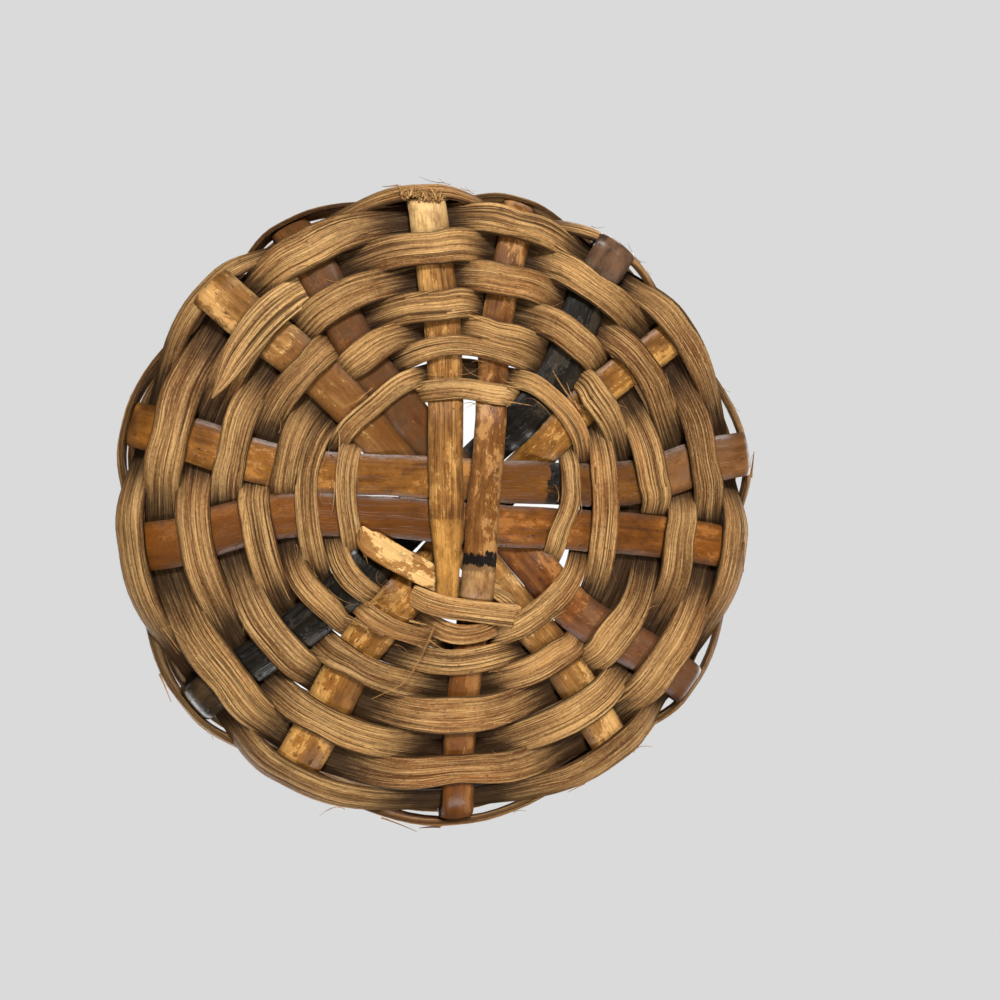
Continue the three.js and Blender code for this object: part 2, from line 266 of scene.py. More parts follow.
class Tone:
    """An output of a shader node. Arithmetic on it adds Math nodes."""

    def __init__(self, tree, socket):
        self.tree = tree
        self.socket = socket

    def node(self, kind, settings, inputs, output=0):
        """Add a node: its settings first, then the values or links of its sockets."""
        node = self.tree.nodes.new(kind)
        for setting, value in settings.items():
            setattr(node, setting, value)
        for socket, value in inputs.items():
            if isinstance(value, Tone):
                self.tree.links.new(value.socket, node.inputs[socket])
            else:
                node.inputs[socket].default_value = value
        return Tone(self.tree, node.outputs[output])

    def feed(self, shader, socket):
        self.tree.links.new(self.socket, shader.inputs[socket])

    def math(self, operation, first, second):
        return self.node("ShaderNodeMath", {"operation": operation}, {0: first, 1: second})

    def __add__(self, other):
        return self.math("ADD", self, other)

    __radd__ = __add__

    def __sub__(self, other):
        return self.math("SUBTRACT", self, other)

    def __rsub__(self, other):
        return self.math("SUBTRACT", other, self)

    def __mul__(self, other):
        return self.math("MULTIPLY", self, other)

    __rmul__ = __mul__

    def __abs__(self):
        return self.math("ABSOLUTE", self, 0)

    def rise(self, low, high):
        """0 below low, 1 above high, soft between."""
        inputs = {"Value": self, "From Min": low, "From Max": high}
        return self.node("ShaderNodeMapRange", {"interpolation_type": "SMOOTHSTEP"}, inputs)

    def between(self, low, high, soft):
        return self.rise(low - soft, low + soft) * (1 - self.rise(high - soft, high + soft))

    def grain(self, other, along, across, detail=3, rough=0.6, shift=0):
        """Noise drawn out along a strip: repeats to the metre along it and across it."""
        inputs = {"X": self * along + shift, "Y": other * across + shift, "Z": shift}
        spot = self.node("ShaderNodeCombineXYZ", {}, inputs)
        noise = {"Vector": spot, "Scale": 1.0, "Detail": detail, "Roughness": rough}
        return self.node("ShaderNodeTexNoise", {"noise_dimensions": "3D"}, noise)

    def tint(self, first, second):
        """Mix of two colours by this value."""
        inputs = {0: self, 6: first, 7: second}
        return self.node("ShaderNodeMix", {"data_type": "RGBA"}, inputs, output=2)


def colour(screen, share=1, lift=0, most=255):
    """Linear colour for a shader from one given as on screen, 0 to 255, first scaled, lifted and capped."""
    parts = [min(part * share + lift, most) for part in screen]
    linear = [((part / 255 + 0.055) / 1.055) ** 2.4 if part > 10 else part / 255 / 12.92 for part in parts]
    return (*linear, 1.0)


def tinted(shade, tints):
    """A shade with tints laid over it in turn: each is a mask, a colour and how that is scaled."""
    for mask, *tint in tints:
        shade = mask.tint(shade, colour(*tint))
    return shade


def new_finish(name):
    """Material with its shader, and the places along and round a strip to draw on."""
    material = bpy.data.materials.new(name)
    material.use_nodes = True
    tree = material.node_tree
    uv = Tone(tree, None).node("ShaderNodeUVMap", {"uv_map": "laid"}, {})
    parts = [uv.node("ShaderNodeSeparateXYZ", {}, {"Vector": uv}, output) for output in (0, 1)]
    return material, tree.nodes["Principled BSDF"], *parts


def set_finish(shader, shade, rough, relief, relief_strength, shine):
    """Feed a shader what varies over a surface, and set its even shine."""
    shade.feed(shader, "Base Color")
    rough.feed(shader, "Roughness")
    bump = {"Strength": relief_strength, "Distance": 0.0004, "Height": relief}
    relief.node("ShaderNodeBump", {}, bump).feed(shader, "Normal")
    shader.inputs["Specular IOR Level"].default_value = shine


def split_wood(name, pale, middle, deep, gloss, worn, fibrous, seed, marks=()):
    """Riven wood: mottled bark with crisp worn patches, fibres and cracks along it, pits, dark edges, and
    marks given as (from, to, colour, strength) in metres along from its middle."""
    material, shader, along, across = new_finish(name)
    mottle = along.grain(across, 120, 190, detail=5, rough=0.68, shift=seed)
    broad = along.grain(across, 26, 80, detail=2, shift=seed + 7)
    fibre = along.grain(across, 45, 2100, detail=4, rough=0.7, shift=seed + 3)
    band = along.grain(across, 10, 420, detail=3, rough=0.6, shift=seed + 15)
    patch = (mottle * 0.55 + broad * 0.45).rise(0.545 - 0.03 * worn, 0.570 - 0.03 * worn)
    stain = along.grain(across, 70, 170, detail=4, rough=0.7, shift=seed + 23).rise(0.55, 0.68)
    scratch = along.grain(across, 260, 700, detail=4, rough=0.8, shift=seed + 5).rise(0.58, 0.63)
    scratch = scratch * broad.rise(0.40, 0.56) * worn
    crack = abs(along.grain(across, 14, 620, detail=2, shift=seed + 19) - 0.5).rise(0.018, 0.004)
    pits = along.grain(across, 420, 900, detail=3, shift=seed + 11).rise(0.62, 0.70)
    wood = (mottle * 0.5 + broad * 0.5).rise(0.38, 0.60).tint(colour(deep), colour(middle))
    wood = tinted(wood, [
        (band.rise(0.46, 0.70) * (0.1 + 0.5 * fibrous), pale),
        (patch * (0.2 + 0.65 * worn), pale),
        (fibre.rise(0.52, 0.34) * fibrous, deep, 0.55),
        (fibre.rise(0.56, 0.74) * fibrous * 0.6, pale, 1.1, 12, 235),
        (stain * 0.5, deep, 0.7),
        (scratch * 0.75, pale, 1.1, 26, 232),
        (crack * (0.05 + 0.7 * fibrous), deep, 0.3),
        (pits * 0.75, deep, 0.25),
    ])
    shaken = along + (mottle - 0.5) * 0.008 + (fibre - 0.5) * 0.003
    uneven = 0.95 + 5.0 * (mottle - 0.5)
    mark_softness = 0.0005
    wood = tinted(wood, [
        (shaken.between(start, end, mark_softness) * uneven * strength, mark)
        for start, end, mark, strength in marks
    ])
    edge = abs(across).rise(0.0040, 0.0072) * abs(across).rise(0.0100, 0.0088)
    wood = tinted(wood, [(edge * 0.65, deep, 0.35)])
    rough = 0.64 - 0.28 * gloss + (fibre - 0.5) * 0.2 + scratch * 0.25 + patch * 0.1
    relief = fibre * fibrous * 0.7 + mottle * 0.7 - patch * 0.3 - crack * (0.1 + 0.8 * fibrous) - pits * 0.8
    set_finish(shader, wood, rough, relief, 0.5, 0.08 + 0.09 * gloss)
    return material


stake_ends = {}
# How far a stake springs out where it turns up, at those that no strand holds in there.
corner_bulges = {
    "a": 0.0012, "c": 0.005, "e": 0.004, "g": 0.0025, "i": 0.0015, "k": 0.001, "m": 0.001, "n": 0.0035,
}
bulge_distance = 0.0975
bulge_reach = 0.0055
tip_below_hoops = 0.0005
rows_on_stake = 112
rows_on_tail = 16
tail_taper = 0.36
taper_start = -0.002
taper_end = half_stick_tail - 0.003
drawn_width = 0.013
stick_section = section(drawn_width, stick_thickness, 2.7, 26)
stick_wander = 0.00025
width_play = 0.018
thickness_play = 0.05


def lay_stick(name, node, letters, axis, beside, level, seed, material):
    """Lay one stick from the tip of its first stake, down the wall, through the crossing and up the other
    side. A stick with one letter ends in a tail just past the crossing instead."""
    slope = (beside[0] - beside[1]) / 1000 / (2 * level_radius)
    ends = [
        Stake(letters[0], axis, beside[0], slope, level),
        Stake(letters[-1], axis + 180, -beside[1], slope, level),
    ]
    stake_ends.update(zip(letters, ends))
    tip = rim_distance - tip_below_hoops
    far_side = np.linspace(0, tip, rows_on_stake)
    if len(letters) == 1:
        ends[1].turn = 0
        ends[1].width = ends[1].crossing_width
        far_side = np.linspace(0, half_stick_tail, rows_on_tail)
    along = np.concatenate([np.linspace(-tip, 0, rows_on_stake), far_side[1:]])
    distance = np.abs(along)
    near = along <= 0
    line = np.where(near[:, None], ends[0].center(distance), ends[1].center(distance))
    widths = np.where(near, ends[0].width_at(distance), ends[1].width_at(distance))
    mean_crossing = (ends[0].crossing_width + ends[1].crossing_width) / 2
    crossing = blend(mean_crossing, widths, eased(distance, 0, crossing_radius))
    width = np.where(distance < crossing_radius, crossing, widths)
    if len(letters) == 1:
        width = width * (1 - tail_taper * eased(along, taper_start, taper_end))
    across, outward = flat_frame(line)
    bulge = np.where(near, corner_bulges.get(letters[0], 0), corner_bulges.get(letters[-1], 0))
    bulge = bulge * np.exp(-((distance - bulge_distance) / bulge_reach) ** 2)
    line = line + across * (stick_wander * waver(along, seed, 0.05))[:, None] + outward * bulge[:, None]
    width = width * (1 + width_play * waver(along, seed + 1, 0.032))
    thickness = thickness_at(distance) * (1 + thickness_play * waver(along, seed + 2, 0.028))
    side, out, girth = stick_section
    reach = side * (width / drawn_width)[:, None]
    rise = out * (thickness / stick_thickness)[:, None] + lumps(along, girth, 0.00008, 420, 700, seed)
    bm = bmesh.new()
    lay(bm, sweep(line, across, outward, reach, rise), along, girth)
    finish_piece(name, bm, material, node)


# Half stick: a straw coloured rod split thin, its pale fibrous face out. It runs up one wall only, and its
# tail thins and stops just past the crossing, where the starting rounds hold it.
lay_stick("half_stick", "stake_upright_half", "a", 0, (-4.3, -3.7), 0, 1, split_wood(
    "half_stick_wood", (192, 144, 80), (148, 98, 44), (98, 58, 20), gloss=0.5, worn=0.55, fibrous=0.55,
    seed=1, marks=[(-0.105, -0.078, (222, 184, 124), 0.5), (0.004, 0.030, (186, 132, 58), 0.35)],
))

# Long upright stick: red-brown bark out, scratched down to pale wood, with a burnt band just past the
# crossing. It lies beside the half stick, lowest of all, and runs up the wall at both ends.
past_tip = 0.27
lay_stick("upright_stick", "stake_upright_long", "bi", 0, (10.9, 5.1), 0, 2, split_wood(
    "upright_stick_wood", (178, 130, 76), (124, 78, 32), (80, 44, 14), gloss=1.0, worn=0.6, fibrous=0.12,
    seed=21, marks=[
        (0.0194, 0.0300, (178, 138, 90), 0.45), (0.0194, 0.0215, (60, 40, 24), 0.5),
        (0.0160, 0.0192, (14, 10, 7), 1.8), (0.040, past_tip, (98, 50, 8), 0.45),
    ],
))

# Upper cross stick: brown, with a glossy bark that is dull and grey towards one end. It lies square over
# the upright sticks, thinned where they cross, and the starting rounds hold it.
lay_stick("upper_cross_stick", "stake_cross_upper", "em", 90, (-6.8, -10), 1, 3, split_wood(
    "upper_cross_wood", (176, 122, 60), (134, 84, 28), (82, 46, 12), gloss=1.0, worn=0.35, fibrous=0.12,
    seed=41, marks=[
        (-0.0375, -0.0300, (20, 14, 8), 1.5), (-0.0300, -0.004, (90, 52, 14), 0.8),
        (-0.0640, -0.0400, (74, 42, 16), 0.75), (-past_tip, -0.068, (108, 76, 50), 0.6),
    ],
))

# Lower cross stick: orange-brown, smooth and satin, riven like the others. It lies beside the upper one in
# the same layer and is held in the same way.
lay_stick("lower_cross_stick", "stake_cross_lower", "fl", 90, (8.2, 3), 1, 4, split_wood(
    "lower_cross_wood", (164, 106, 48), (122, 70, 20), (78, 42, 8), gloss=1.0, worn=0.25, fibrous=0.1,
    seed=61, marks=[(0.002, past_tip, (84, 46, 12), 0.5)],
))

# Red diagonal stick: dark red bark, its far half darkened nearly to brown: partly its own colour and partly
# painted shade where it lies deep by the crossing. It lies over the cross sticks and slants from the upper
# left to the lower right, as the photograph shows the base.
lay_stick(
    "red_diagonal_stick", "stake_diagonal_red", "go", 139, (-5.8, -7), 2, 5,
    split_wood(
        "red_diagonal_wood", (168, 112, 58), (120, 70, 28), (74, 38, 12), gloss=0.9, worn=0.45,
        fibrous=0.15, seed=81,
        marks=[(0.006, past_tip, (80, 50, 22), 0.75), (-past_tip, -0.054, (88, 60, 42), 0.55)],
    ),
)

# Straw diagonal stick: pale and fibrous, browner where it runs to the upper left near the crossing: partly
# its own colour and partly painted shade. It lies beside the red one in the same layer.
lay_stick(
    "straw_diagonal_stick", "stake_diagonal_straw", "hn", 139, (7.2, 5.4), 2, 6,
    split_wood(
        "straw_diagonal_wood", (204, 156, 94), (156, 108, 52), (104, 66, 26), gloss=0.75, worn=0.8,
        fibrous=0.3, seed=101, marks=[(0.008, 0.072, (100, 58, 18), 0.7)],
    ),
)

# Dark diagonal stick: bark burnt nearly black, grey-brown at its ends. It lies in the last layer, nearest
# the inside of the basket, across the other two diagonal sticks.
lay_stick(
    "dark_diagonal_stick", "stake_diagonal_dark", "ck", 42, (-3.1, -8.3), 3, 7,
    split_wood(
        "dark_diagonal_wood", (60, 49, 34), (26, 20, 12), (10, 7, 4), gloss=1.2, worn=0.4, fibrous=0.15,
        seed=121, marks=[
            (-past_tip, -0.086, (108, 84, 64), 0.6), (-0.112, -0.091, (104, 62, 36), 0.25),
            (0.084, past_tip, (72, 54, 34), 0.5),
        ],
    ),
)

# Gold diagonal stick: yellow-brown bark, mottled and scratched where it is worn. It lies beside the dark
# one in the last layer.
lay_stick("gold_diagonal_stick", "stake_diagonal_gold", "dj", 42, (8.6, 6.7), 3, 8, split_wood(
    "gold_diagonal_wood", (190, 142, 76), (146, 96, 38), (94, 56, 16), gloss=0.9, worn=0.7, fibrous=0.15,
    seed=141,
))

# Flat cane. Real cane is split from the core of a climbing palm: long flat strips, ribbed along, soaked and
# woven wet. The strips pass the stakes in this order. The first three rounds are narrower and go over and
# under groups of stakes.
order = "mnoabcdefghijkl"
start_groups = ["ab", "cd", "ef", "gh", "i", "jk", "lm", "no"]
start_rounds = 3
start_radius = 0.0362
start_pitch = 0.0057
start_width = 0.0068
start_thickness = 0.0015
bark_step = 0.0001


def flat_cane():
    """Dry cane: thin dark grooves and fine fibres along it, soft bands, grit, specks, and a tone that drifts
    along a strip. Painted shade darkens it at the sides of the base, where it dips behind a stake, and along
    its edges, which are partly dirt too."""
    material, shader, along, across = new_finish("flat_cane")
    drift = along.grain(across, 15, 20, detail=2, shift=2.0)
    ruddy = along.grain(across, 9, 12, detail=2, shift=31.0)
    patch = along.grain(across, 70, 170, detail=4, rough=0.7, shift=9.0)
    band = along.grain(across, 7, 500, detail=2, shift=17.0)
    fibre = along.grain(across, 55, 2900, detail=4, rough=0.8, shift=4.0)
    grit = along.grain(across, 800, 1600, detail=3, rough=0.8, shift=23.0)
    split = along.grain(across, 26, 240, detail=3, shift=41.0)
    groove = along.grain(across, 9, 2400, detail=3, rough=0.6, shift=6.0).rise(0.525, 0.59)
    speck = along.grain(across, 420, 1300, detail=2, shift=12.0).rise(0.62, 0.70)
    standing = along.node("ShaderNodeAttribute", {"attribute_name": "standing"}, {}, output="Fac")
    spot = along.node("ShaderNodeTexCoord", {}, {}, output="Object")
    x, z = (spot.node("ShaderNodeSeparateXYZ", {}, {"Vector": spot}, output) for output in ("X", "Z"))
    # Painted shade: the cane darkens towards the left and right of the base, where light falls less on strips
    # that run that way, and this fades out up the corner.
    aside = abs(x - 0.012).rise(0.02, 0.08) * z.rise(0.025, 0.010)
    outer = abs(across).rise(0.0066, 0.0052)
    # Dark rims along the outer face's edges: partly dirt and partly painted shade along the strips' edges.
    edge = (abs(across) + (patch - 0.5) * 0.0012).rise(0.0040, 0.0050) * outer
    # Painted shade: the outer face darkens where the strip dips behind a stake, broken up by patches and
    # fibres; adding 1 - outer keeps the side and inner faces out of it.
    painted_dip_shade = standing + (patch - 0.5) * 0.5 + (fibre - 0.5) * 0.9 + (1 - outer)
    cane = (drift * 0.7 + patch * 0.3).rise(0.40, 0.60).tint(colour((104, 64, 26)), colour((182, 136, 80)))
    cane = tinted(cane, [
        (ruddy.rise(0.48, 0.64) * 0.5, (156, 96, 46)),
        (aside * 0.42, (98, 62, 30)),
        (band.rise(0.45, 0.65) * 0.36, (220, 178, 116)),
        (band.rise(0.50, 0.36) * 0.4, (92, 58, 28)),
        (fibre.rise(0.51, 0.62) * 0.45, (226, 186, 126)),
        (fibre.rise(0.49, 0.38) * 0.55, (80, 48, 22)),
        (grit.rise(0.52, 0.64) * 0.3, (80, 46, 18)),
        (grit.rise(0.47, 0.37) * 0.16, (228, 192, 134)),
        (groove * (0.28 + 0.6 * split.rise(0.44, 0.58)), (52, 29, 10)),
        (painted_dip_shade.rise(1.00, 0.40) * 0.45, (60, 33, 8)),
        (painted_dip_shade.rise(0.58, 0.08) * 0.85, (26, 12, 2)),
        (speck * 0.6, (56, 32, 12)),
        (edge * 0.8, (44, 23, 4)),
    ])
    relief = fibre * 0.6 + band * 0.35 + grit * 0.3 - groove * 0.7
    set_finish(shader, cane, 0.68 + (fibre - 0.5) * 0.4, relief, 0.9, 0.12)
    return material


cane_finish = flat_cane()


def stake_counted(count):
    """Stake at a count from the first one, going round and round, and the full turns before it."""
    return stake_ends[order[count % len(order)]], count // len(order)


def angle_counted(count, distance):
    """Angle of that stake at a distance, which grows steadily from turn to turn."""
    end, turns = stake_counted(count)
    angle = end.angle_at(distance)
    nominal = end.angle + 2 * math.pi * (turns + (1 if order.index("a") <= count % len(order) else 0))
    return angle + 2 * math.pi * np.round((nominal - angle) / (2 * math.pi))


def stations(count, steps):
    """Places along a row of spots, the number of the spot before each, and the share of the way on."""
    places = np.linspace(0, count - 1, (count - 1) * steps + 1)
    index = np.minimum(places.astype(int), count - 2)
    return places, index, places - index


def curve_through(values, index, share):
    """Values at shares of the way from one spot to the next, on a smooth curve through all of them."""
    ends = np.concatenate([[2 * values[0] - values[1]], values, [2 * values[-1] - values[-2]]])
    before, here, following, beyond = (ends[index + step] for step in range(4))
    slope_here, slope_following = (following - before) / 2, (beyond - here) / 2
    lift = following - here
    return (
        here + slope_here * share + (3 * lift - 2 * slope_here - slope_following) * share ** 2
        + (slope_here + slope_following - 2 * lift) * share ** 3
    )


# A strip hugs a stake over this share of the stake's half width, and takes at least this share of the way
# to the next one to change faces. Halfway, its neighbours press it this much towards their edges.
hugged_share = 0.62
least_swing = 0.1
pressed_share = 0.55
pressed_overlap = 0.0003
steps_between_stakes = 12
# A row wanders in and out in three waves: their strength, waves to the turn, drift and start.
row_wander = 0.00042
row_waves = ((1, 3, 0.6, 0), (0.7, 7, 1.1, 2), (0.5, 12, 1, 0))
tilt_most = 0.00030
hollow_most = 0.00012
rib_height = 0.000035
grain_step = 1.37
past_spot = 0.02
strand_edges = []


def lay_strand(name, node, first, last, row_of, side_of, shape, seed, edges_of=None):
    """Weave one strip from the middle of one stake to the middle of another, hugging each stake as it
    passes, and pressed between its neighbours' edges halfway between stakes."""
    side, out, girth = shape
    shares = side / np.ptp(side)
    counts = range(first, last + 1)
    distances, row_widths = np.array([row_of(count) for count in counts]).T
    seats, hugged = [], []
    for count, distance in zip(counts, distances):
        end, _ = stake_counted(count)
        seat = thickness_at(distance) / 2 + np.ptp(out) / 2 + bark_step
        seats.append(side_of(count) * seat - (end.height_at(distance) - middle_height))
        hugged.append(hugged_share * (0.5 * end.width_at(distance)))
    seats, hugged = np.array(seats), np.array(hugged)
    angles = np.stack([
        angle_counted(count, distance + shares * width)
        for count, distance, width in zip(counts, distances, row_widths)
    ])
    _, index, share = stations(len(counts), steps_between_stakes)
    radius = profile(distances)[0]
    spans = np.abs(np.diff(angles[:, 0])) * (radius[:-1] + radius[1:]) / 2
    leave = (hugged[:-1] / spans)[index]
    meet = (1 - hugged[1:] / spans)[index]
    dive = eased(share, leave, np.maximum(meet, leave + least_swing))
    offset = blend(seats[index], seats[index + 1], dive)
    angle = blend(angles[index], angles[index + 1], share[:, None])
    distance = curve_through(distances, index, share)
    row_width = blend(row_widths[index], row_widths[index + 1], share)
    if edges_of:
        edges = np.array([edges_of(count) for count in counts[:-1]])
        pressed = pressed_share * np.sin(math.pi * share) ** 2
        distance = blend(distance, edges.mean(axis=1)[index], pressed)
        row_width = blend(row_width, (edges[:, 1] - edges[:, 0])[index] + pressed_overlap, pressed)
    around = angle.mean(axis=1)
    turn = around / (2 * math.pi)
    distance = distance + row_wander * sum(
        strength * np.sin(waves * around + drift * turn + start)
        for strength, waves, drift, start in row_waves
    )
    run = np.concatenate([[0], np.cumsum(spans)])
    along = blend(run[index], run[index + 1], share)
    row_width = row_width * (1 + 0.03 * waver(along, seed, 0.07) + 0.015 * waver(along, seed + 4, 0.016))
    tilt = (2 * tilt_most * waver(along, seed + 1, 0.09))[:, None]
    hollow = (hollow_most * waver(along, seed + 2, 0.05))[:, None]

    def middle(shares_here):
        reach = distance[:, None] + shares_here * row_width[:, None]
        rise = offset[:, None] + tilt * shares_here + hollow * (1 - 4 * shares_here ** 2)
        return place(reach, rise, angle)

    surface = middle(shares)
    nudge = 0.02
    meridian = middle(shares + nudge) - middle(shares - nudge)
    tangent = np.gradient(surface, axis=0)
    normal = unit(np.cross(tangent, meridian))
    ribs = rib_height * (np.cos(girth * 4200 + seed) + np.cos(girth * 2900 + 2 * seed))
    relief = (ribs + lumps(along, girth, 0.00006, 310, 520, seed)) * np.sign(out)
    points = surface + normal * (out + relief)[..., None]
    # Loose fibres start later where the strip lies outside under the base, apart from its spots on stakes.
    center = len(girth) // 2
    outside = (offset > 0) & (distance < corner_end) & (share > past_spot)
    if outside.any():
        parts = surface, unit(tangent), unit(meridian), normal
        strand_edges.append([part[outside, center] for part in parts])
    bm = bmesh.new()
    lay(bm, points, along + seed * grain_step, girth, (offset - seats.min()) / np.ptp(seats))
    finish_piece(name, bm, cane_finish, node)


start_section = section(start_width, start_thickness, 4.0, 24)
# Where each round passes each stake, in millimetres from the middle, and how wide it is there, with the
# stakes in the order above.
start_places = [
    [36.6, 40.0, 39.0, 36.9, 37.5, 40.5, 41.5, 38.0, 34.6, 36.0, 39.5, 41.8, 36.8, 36.0, 34.6],
    [42.5, 41.9, 42.2, 43.5, 44.5, 45.9, 46.8, 44.5, 44.0, 43.6, 43.1, 45.0, 40.0, 40.0, 41.0],
    [48.2, 48.5, 49.2, 50.5, 50.8, 52.5, 54.5, 49.5, 49.4, 54.5, 52.5, 50.2, 51.4, 48.6, 47.0],
]
start_widths = [
    [6.8, 6.8, 6.8, 6.8, 6.8, 6.8, 6.8, 6.8, 6.8, 6.8, 6.8, 6.4, 6.8, 6.8, 6.8],
    [6.8, 6.2, 6.2, 6.8, 6.8, 6.4, 6.4, 6.8, 6.8, 8.2, 8.2, 6.8, 7.2, 7.6, 6.8],
    [6.6, 6.8, 8.6, 6.4, 6.2, 7.6, 8.0, 9.6, 9.6, 8.4, 8.0, 8.4, 8.6, 7.4, 7.2],
]


def start_row(round_index, count):
    stake = count % len(order)
    return start_places[round_index][stake] / 1000, start_widths[round_index][stake] / 1000


def start_side(round_index, count):
    """Over every second group, but for one stake that the second round ducks under too early."""
    letter = order[count % len(order)]
    group = next(number for number, letters in enumerate(start_groups) if letter in letters)
    return 1 if (group + round_index) % 2 == 0 and (letter, round_index) != ("j", 1) else -1


def halfway(row_of, count):
    """Where a row lies halfway between two stakes."""
    return (row_of(count)[0] + row_of(count + 1)[0]) / 2


for round_index in range(start_rounds):
    first_count = 0
    while start_side(round_index, first_count) == 1:
        first_count += 1
    lay_strand(
        f"starting_round_{round_index + 1}", f"start_round_{round_index + 1}", first_count,
        first_count + len(order), lambda count: start_row(round_index, count),
        lambda count: start_side(round_index, count), start_section, 200 + 10 * round_index,
    )

# Tucked strip: the end of another length of the same cane. It comes out over the stake that the second
# round ducks under, and both its ends are tucked behind the stakes beside that one.
tucked_places = {"i": (43.0, 5.6), "j": (44.4, 6.2), "k": (45.0, 5.6)}
lay_strand(
    "tucked_strip", None, order.index("i"), order.index("k"),
    lambda count: [size / 1000 for size in tucked_places[order[count]]],
    lambda count: 1 if order[count] == "j" else -1, start_section, 240,
)

# The spiral of cane, over one stake and under the next, from the starting rounds out to the base edge and
# up the wall. It is twelve lengths, spliced behind stakes. Its first turn widens and its last one tapers.
cane_width = 0.0096
woven_width = 0.0086
first_width = 0.0056
last_width = 0.0024
least_row_gap = 0.00055
cane_lengths = 12
hoop_height = 0.011
spiral_inner = start_radius + start_pitch * start_rounds
rows_top = rim_distance - hoop_height - lashing_thickness - 2 * clearance
rows_length = rows_top - spiral_inner - first_width - woven_width
full_rows = math.floor(rows_length / (woven_width + least_row_gap))
row_gap = (rows_length - full_rows * woven_width) / (full_rows + 1)


def lower_edge(turn):
    if turn < 1:
        return spiral_inner + turn * (first_width + row_gap)
    return lower_edge(turn - 1) + spiral_width(turn - 1) + row_gap


def spiral_width(turn):
    if turn < 1:
        return blend(first_width, woven_width, max(turn, 0))
    return woven_width if turn <= full_rows + 1 else rows_top - lower_edge(turn)


# How far the rows under the base were beaten in, in millimetres, at every second stake from the first.
beaten_in = [
    1.6, 1.0, 1.7, 1.1, 2.0, 3.0, 2.8, 1.4, 0.4, 2.6, 0.6, 2.4, 2.4, 3.6, 3.0, 2.3, 1.0, 1.9, -0.8, 2.4, 0.2,
    2.1, 2.0, 1.7, 2.8, 0.4, 2.3, 1.0, 4.6, 3.2, 2.4, 1.5, 1.8, 0.4, 1.2, 0.2, 1.6, 1.4, 1.0, 0.5, 0.0,
]
# The strand's width where it lies over a stake under the base, in millimetres: it was split unevenly.
over_widths = [
    7.2, 10.0, 8.1, 10.2, 9.6, 10.0, 8.4, 9.3, 8.2, 9.4, 11.4, 10.5, 12.4, 11.6, 10.6, 8.8, 10.5, 10.1, 9.4,
    10.3, 11.6, 9.0, 9.3, 9.6, 10.0, 9.5, 9.7, 12.0, 9.0, 10.9, 10.1, 11.0, 8.8, 9.2, 10.2, 10.3, 9.0, 9.2,
]
# The strand's first stakes, which it passes before it is out among the rows: place and width, in millimetres.
spiral_start = {-3: (50.5, 7.0), -2: (51.9, 8.4), -1: (53.4, 9.0), 0: (54.6, 7.2), 1: (55.8, 10.4)}
slipped_stake = 8
first_spread = 0.0034
# Behind a stake the strip is drawn wider to each side, and more in the turns that round the base edge.
hidden_spread = 0.0013
edge_hidden_spread = 0.0026
edge_turns = (3.2, 4.4)
# Between two stakes a strip reaches at most this share of its widths at both to each side.
widest_share = 0.31


def spiral_side(count):
    """Over every second stake, but for one in the first turn where the strand slipped behind."""
    return 1 if count % 2 == 0 and count != slipped_stake else -1


def spiral_row(count):
    if count in spiral_start:
        distance, width = spiral_start[count]
        return distance / 1000, width / 1000
    turned = angle_counted(count, base_flat_radius) - angle_counted(0, base_flat_radius)
    turn = float(turned) / (2 * math.pi)
    width = spiral_width(turn)
    beaten = float(np.interp(count / 2, range(len(beaten_in)), beaten_in)) / 1000
    if count < 2 * len(over_widths) and spiral_side(count) == 1:
        return lower_edge(turn) + width / 2 - beaten, over_widths[count // 2] / 1000
    spread = blend(first_spread, cane_width - woven_width, min(turn, 1))
    hidden = edge_hidden_spread if edge_turns[0] < turn < edge_turns[1] else hidden_spread
    hidden = hidden if turn < full_rows - 1 and spiral_side(count) == -1 else 0
    return lower_edge(turn) + width / 2 - beaten + hidden, width + spread + 2 * hidden


def spiral_edges(count):
    """Edges of the spiral halfway between two stakes, where it touches the turns on each side of it."""
    here = halfway(spiral_row, count)
    if count - len(order) >= min(spiral_start):
        below = halfway(spiral_row, count - len(order))
    else:
        below = halfway(lambda at: start_row(start_rounds - 1, at), count)
    above = halfway(spiral_row, count + len(order))
    half = widest_share * (spiral_row(count)[1] + spiral_row(count + 1)[1])
    return max((below + here) / 2, here - half), min((here + above) / 2, here + half)


last_count = (full_rows + 1) * len(order)
while spiral_row(last_count + 1)[1] > last_width + cane_width - woven_width:
    last_count += 1
if spiral_side(last_count) == 1:
    last_count -= 1
drawn_cane_thickness = 0.0019
cane_section = section(cane_width, drawn_cane_thickness, 4.5, 30)
for length in range(cane_lengths):
    ends = [1 + 2 * round((length + step) * (last_count - 1) / (2 * cane_lengths)) for step in (0, 1)]
    if length == 0:
        ends[0] = min(spiral_start)
    lay_strand(
        f"cane_{length + 1:02d}", f"weaver_{length + 1:02d}", ends[0], ends[1], spiral_row, spiral_side,
        cane_section, 300 + 7 * length, spiral_edges,
    )

# Loose ends by the crossing. Where the first strips run out they are folded over and tucked in: one lies
# across the half stick's tail, and the split end of another, bark side out, crosses to it from the left.
# Inside, the first strip's turn back lies over the diagonal sticks and closes the gaps between them.
steps_between_spots = 10


def travelled(line):
    """Distance from the start of a line to each of its points."""
    return np.concatenate([[0], np.cumsum(np.linalg.norm(np.diff(line, axis=0), axis=1))])


def lay_free(name, spots, thickness, material, seed):
    """Lay a strip on a smooth curve through spots: x, y, z and its width there, in millimetres."""
    _, index, share = stations(len(spots), steps_between_spots)
    curve = curve_through(np.array(spots) / 1000, index, share[:, None])
    line, width = curve[:, :3], curve[:, 3]
    across, outward = flat_frame(line)
    side, out, girth = start_section
    reach = side * (width / np.ptp(side))[:, None]
    rise = out * thickness / np.ptp(out) + 0.00005 * np.cos(girth * 4100 + seed) * np.sign(out)
    bm = bmesh.new()
    lay(bm, sweep(line, across, outward, reach, rise), travelled(line) + grain_step * seed, girth)
    finish_piece(name, bm, material, None)


